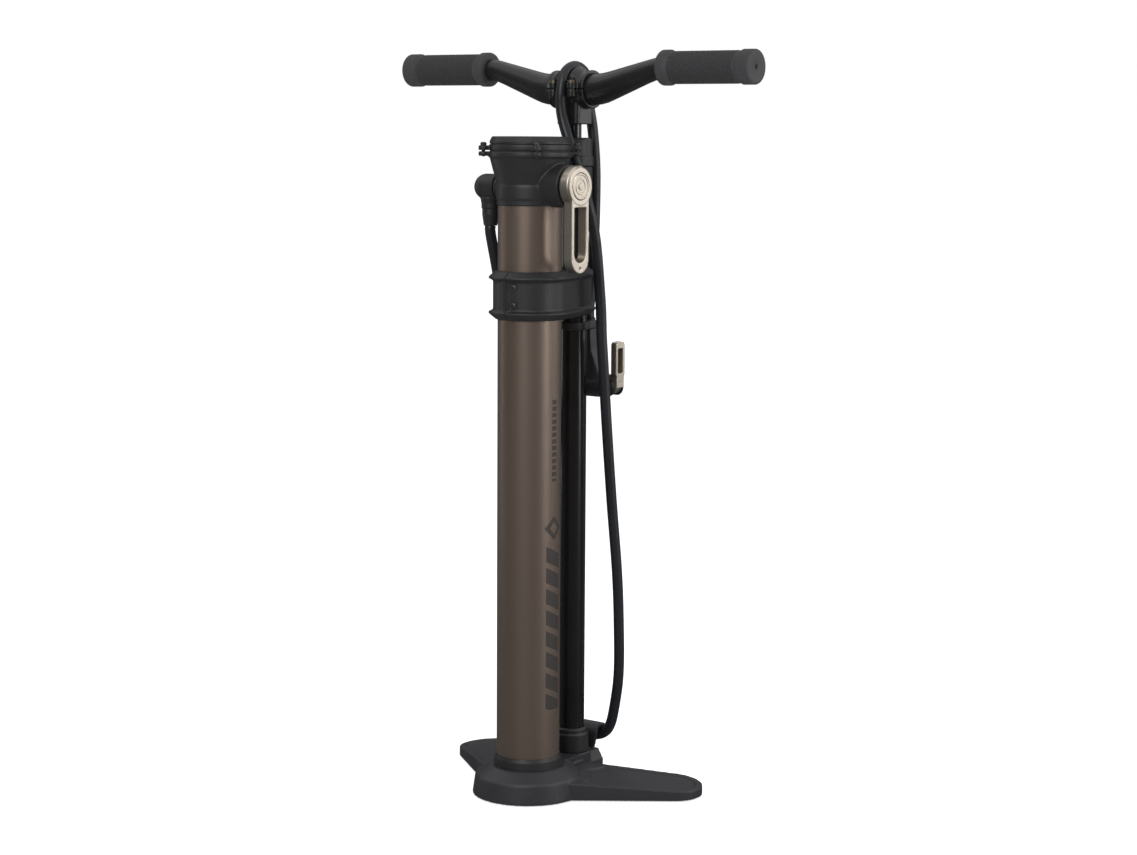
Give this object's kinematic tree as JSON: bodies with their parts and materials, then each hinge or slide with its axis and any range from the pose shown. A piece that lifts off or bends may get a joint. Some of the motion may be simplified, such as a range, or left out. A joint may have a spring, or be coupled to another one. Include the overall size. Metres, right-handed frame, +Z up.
{
  "type": "floor bike pump",
  "caption": "Track floor pump: slim barrel and wide air chamber on a winged base, top gauge, release lever, T handle and a hose looped over it",
  "frame": {"origin": "on the floor, on the axis of the pumping barrel, at the centre of the rubber foot under it", "axes": "+Z up along the barrel and the piston rod; +X along the handlebar, toward the release lever; -Y toward the air chamber, the gauge and the user"},
  "size_m": [0.44, 0.1809, 0.7618],
  "materials": {
    "base_nylon": "satin black glass-filled nylon",
    "black_nylon": "satin black moulding",
    "black_rubber": "matt black",
    "grip_rubber": "matt dark grey, knurled",
    "hose_rubber": "smooth satin black",
    "bronze_tube": "warm grey-bronze satin anodised",
    "black_tube": "gloss black",
    "black_bar": "satin black",
    "champagne": "champagne nickel, fine brushed",
    "steel": "bright zinc",
    "dark_steel": "black oxide",
    "brass": "turned",
    "rod_steel": "black oxide, polished by the bush",
    "white_acetal": "natural acetal",
    "dial_white": "printed white",
    "needle_red": "red",
    "lens_clear": "clear polycarbonate"
  },
  "bodies": {
    "pump": {"base_body": "base_nylon", "rubber_feet": "black_rubber", "passage_plug": "brass", "check_seat": "brass", "check_spring": "steel", "check_cage": "brass", "chamber_foot_seal": "black_rubber", "chamber_foot_ring": "black_nylon", "chamber_tube": "bronze_tube", "chamber_head_seal": "black_rubber", "head_casting": "black_nylon", "gauge_gasket": "black_rubber", "gauge_case": "black_nylon", "gauge_socket": "brass", "bourdon_tube": "brass", "gauge_dial": "dial_white", "gauge_lens": "lens_clear", "gauge_bezel": "black_nylon", "flange_screws": "dark_steel", "elbow_seal": "black_rubber", "outlet_elbow": "black_nylon", "outlet_ferrule": "black_nylon", "barrel_foot_seal": "black_rubber", "barrel_foot_nut": "black_nylon", "barrel_tube": "black_tube", "rod_bush": "white_acetal", "rod_wiper": "black_rubber", "barrel_cap": "black_nylon", "clamp_left": "black_nylon", "clamp_right": "black_nylon", "clamp_screws": "dark_steel", "head_dock": "black_nylon", "hose_lower": "hose_rubber", "hose_upper": "hose_rubber", "head_neck": "black_nylon", "head_body": "black_nylon", "head_gasket": "black_rubber", "head_nut": "steel", "head_pin": "steel"},
    "check_ball": {"check_ball": "steel"},
    "needle": {"gauge_needle": "needle_red", "gauge_spindle": "brass"},
    "release": {"release_lever": "champagne", "lever_screw": "steel", "lever_cap": "champagne", "valve_spool": "steel", "valve_seals": "black_rubber"},
    "thumb": {"head_lever": "champagne"},
    "plunger": {"head_plunger": "steel"},
    "handle": {"piston": "white_acetal", "piston_seal": "black_rubber", "piston_nut": "steel", "piston_rod": "rod_steel", "handle_stem": "black_bar", "clamp_cap": "black_bar", "clamp_bolts": "steel", "handlebar": "black_bar", "grip_left": "grip_rubber", "grip_right": "grip_rubber"}
  },
  "joints": [
    {"name": "handle_slide", "type": "slide", "parent": "pump", "child": "handle", "axis": [0, 0, 1], "range_m": [-0.01, 0.5], "deforming": ["hose_upper"]},
    {"name": "release_turn", "type": "hinge", "parent": "pump", "child": "release", "pos_m": [0.05, -0.074, 0.6265], "axis": [1, 0, 0], "range_deg": [-90, 0]},
    {"name": "thumb_turn", "type": "hinge", "parent": "pump", "child": "thumb", "pos_m": [0.03, 0.0285, 0.416], "axis": [0, 1, 0], "range_deg": [0, 90]},
    {"name": "plunger_slide", "type": "slide", "parent": "pump", "child": "plunger", "axis": [-1, 0, 0], "range_m": [0, 0.003]},
    {"name": "needle_turn", "type": "hinge", "parent": "pump", "child": "needle", "pos_m": [0, -0.074, 0.66], "axis": [0, 0, -1], "range_deg": [0, 270]},
    {"name": "ball_lift", "type": "slide", "parent": "pump", "child": "check_ball", "axis": [0, 0, 1], "range_m": [0, 0.0014], "deforming": ["check_spring"]}
  ],
  "couplings": [
    {"joint": "plunger_slide", "follows": "thumb_turn", "m_per_rad": 0.0019}
  ]
}
